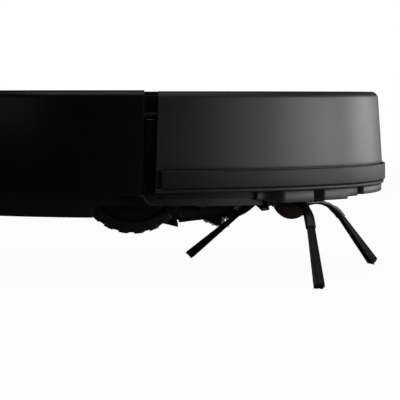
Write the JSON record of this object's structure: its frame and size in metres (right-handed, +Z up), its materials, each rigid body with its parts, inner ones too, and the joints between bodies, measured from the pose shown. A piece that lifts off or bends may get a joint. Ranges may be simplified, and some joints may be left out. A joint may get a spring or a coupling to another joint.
{
  "type": "robotic floor cleaner",
  "caption": "Disc-shaped robotic floor cleaner with a sprung front bumper, drive wheels, caster, floating main brush, tilted side brush and a pull-out dust bin.",
  "frame": {"origin": "centre of the round body on the battery cover's flat underside", "axes": "+X forward towards the bumper, +Y to the machine's left, +Z up"},
  "size_m": [0.3527, 0.352, 0.1234],
  "materials": {
    "gloss_black": "polished black moulding",
    "matt_charcoal": "fine-textured charcoal moulding",
    "matt_black": "textured black moulding",
    "tyre_rubber": "moulded rubber with blocks",
    "brush_rubber": "soft moulded rubber",
    "bristle_nylon": "nylon filament",
    "steel": "bright drawn steel",
    "smoked_plastic": "smoked infrared-clear plastic",
    "battery_wrap": "shrink-wrapped pack",
    "board_green": "solder-masked board",
    "contact_metal": "nickel-plated contact",
    "caster_brown": "hard dark brown plastic",
    "filter_cream": "pleated filter paper",
    "fan_grey": "moulded nylon"
  },
  "bodies": {
    "body": {"chassis": "matt_black", "rear_shell": "gloss_black", "front_skirt": "matt_charcoal", "top_cover": "gloss_black", "gap_liner_right": "matt_black", "gap_liner_left": "matt_black", "wall_sensor_window": "smoked_plastic", "battery_pack": "battery_wrap", "battery_cover": "matt_black", "main_board": "board_green", "fan_housing": "matt_black", "suction_duct": "matt_black", "side_brush_gearbox": "steel", "charge_contact_left": "contact_metal", "charge_contact_right": "contact_metal", "cliff_sensor_front": "smoked_plastic", "cliff_sensor_left": "smoked_plastic", "cliff_sensor_right": "smoked_plastic", "caster_socket": "matt_black", "bumper_spring_left": "steel", "bumper_spring_right": "steel", "bumper_switch_left": "matt_black", "bumper_switch_right": "matt_black", "wheel_housing_right": "matt_black", "wheel_housing_left": "matt_black", "speaker": "matt_black", "skid": "matt_black"},
    "bumper": {"bumper_shell": "matt_charcoal", "bumper_strip": "brush_rubber", "docking_window": "smoked_plastic"},
    "power_button": {"power_button": "matt_charcoal"},
    "home_button": {"home_button": "matt_charcoal"},
    "right_suspension": {"right_wheel_gearbox": "matt_black"},
    "right_wheel": {"right_wheel_hub": "matt_black", "right_wheel_tyre": "tyre_rubber", "right_wheel_axle": "steel"},
    "left_suspension": {"left_wheel_gearbox": "matt_black"},
    "left_wheel": {"left_wheel_hub": "matt_black", "left_wheel_tyre": "tyre_rubber", "left_wheel_axle": "steel"},
    "brush_head": {"brush_housing": "matt_black", "brush_guard": "matt_black", "brush_scraper_lip": "brush_rubber", "brush_gearmotor": "steel"},
    "main_brush": {"main_brush": "brush_rubber"},
    "side_brush": {"side_brush_hub": "brush_rubber"},
    "side_brush_flex_1": {"side_brush_arm_1": "brush_rubber", "side_brush_bristles_1": "bristle_nylon"},
    "side_brush_flex_2": {"side_brush_arm_2": "brush_rubber", "side_brush_bristles_2": "bristle_nylon"},
    "side_brush_flex_3": {"side_brush_arm_3": "brush_rubber", "side_brush_bristles_3": "bristle_nylon"},
    "caster_fork": {"caster_fork": "matt_black", "caster_axle": "steel"},
    "caster_wheel": {"caster_wheel": "caster_brown"},
    "dust_bin": {"dust_bin": "smoked_plastic", "dust_bin_lid": "smoked_plastic", "dust_filter": "filter_cream"},
    "bin_latch": {"bin_latch": "matt_charcoal"},
    "fan_impeller": {"fan_impeller": "fan_grey"}
  },
  "joints": [
    {"name": "bumper_push", "type": "slide", "parent": "body", "child": "bumper", "axis": [-1, 0, 0], "range_m": [0, 0.0035], "stiffness_N_per_m": 400, "springref_m": -0.003, "deforming": ["bumper_spring_left", "bumper_spring_right"]},
    {"name": "power_button_press", "type": "slide", "parent": "body", "child": "power_button", "axis": [0, 0, -1], "range_m": [0, 0.0008], "stiffness_N_per_m": 1500, "springref_m": -0.0005},
    {"name": "home_button_press", "type": "slide", "parent": "body", "child": "home_button", "axis": [0, 0, -1], "range_m": [0, 0.0008], "stiffness_N_per_m": 1500, "springref_m": -0.0005},
    {"name": "right_wheel_suspension", "type": "hinge", "parent": "body", "child": "right_suspension", "pos_m": [-0.04, -0.09225, 0.034], "axis": [0, -1, 0], "range_deg": [0, 14], "stiffness_Nm_per_rad": 1, "springref_deg": -17.19},
    {"name": "right_wheel_spin", "type": "hinge", "parent": "right_suspension", "child": "right_wheel", "pos_m": [0, -0.112, 0.022], "axis": [0, 1, 0], "continuous": true},
    {"name": "left_wheel_suspension", "type": "hinge", "parent": "body", "child": "left_suspension", "pos_m": [-0.04, 0.09225, 0.034], "axis": [0, -1, 0], "range_deg": [0, 14], "stiffness_Nm_per_rad": 1, "springref_deg": -17.19},
    {"name": "left_wheel_spin", "type": "hinge", "parent": "left_suspension", "child": "left_wheel", "pos_m": [0, 0.112, 0.022], "axis": [0, 1, 0], "continuous": true},
    {"name": "brush_head_float", "type": "hinge", "parent": "body", "child": "brush_head", "pos_m": [0.0885, 0, 0.014], "axis": [0, 1, 0], "range_deg": [0, 6.6]},
    {"name": "main_brush_spin", "type": "hinge", "parent": "brush_head", "child": "main_brush", "pos_m": [0.05903, 0, 0.012], "axis": [0, 1, 0], "continuous": true},
    {"name": "side_brush_spin", "type": "hinge", "parent": "body", "child": "side_brush", "pos_m": [0.1075, -0.105, 0], "axis": [0.0617, -0.0763, 0.9952], "continuous": true},
    {"name": "side_brush_flex_1", "type": "hinge", "parent": "side_brush", "child": "side_brush_flex_1", "pos_m": [0.1141, -0.10045, 0.00496], "axis": [0.614, -0.7832, -0.0981], "range_deg": [0, 35], "stiffness_Nm_per_rad": 0.05, "deforming": ["side_brush_arm_1", "side_brush_bristles_1"]},
    {"name": "side_brush_flex_2", "type": "hinge", "parent": "side_brush", "child": "side_brush_flex_2", "pos_m": [0.10041, -0.10242, 0.00566], "axis": [0.3745, 0.926, 0.0478], "range_deg": [0, 35], "stiffness_Nm_per_rad": 0.05, "deforming": ["side_brush_arm_2", "side_brush_bristles_2"]},
    {"name": "side_brush_flex_3", "type": "hinge", "parent": "side_brush", "child": "side_brush_flex_3", "pos_m": [0.10891, -0.11328, 0.0043], "axis": [-0.9885, -0.1428, 0.0503], "range_deg": [0, 35], "stiffness_Nm_per_rad": 0.05, "deforming": ["side_brush_arm_3", "side_brush_bristles_3"]},
    {"name": "caster_swivel", "type": "hinge", "parent": "body", "child": "caster_fork", "pos_m": [0.1165, 0, 0.0152], "axis": [0, 0, 1], "continuous": true},
    {"name": "caster_roll", "type": "hinge", "parent": "caster_fork", "child": "caster_wheel", "pos_m": [0.1115, 0, 0.001], "axis": [0, 1, 0], "continuous": true},
    {"name": "dust_bin_slide", "type": "slide", "parent": "body", "child": "dust_bin", "axis": [-1, 0, 0], "range_m": [0, 0.12]},
    {"name": "bin_latch_press", "type": "slide", "parent": "dust_bin", "child": "bin_latch", "axis": [1, 0, 0], "range_m": [0, 0.002], "stiffness_N_per_m": 800, "springref_m": -0.001},
    {"name": "fan_spin", "type": "hinge", "parent": "body", "child": "fan_impeller", "pos_m": [-0.048, 0.058, 0.014], "axis": [0, 0, 1], "continuous": true}
  ]
}
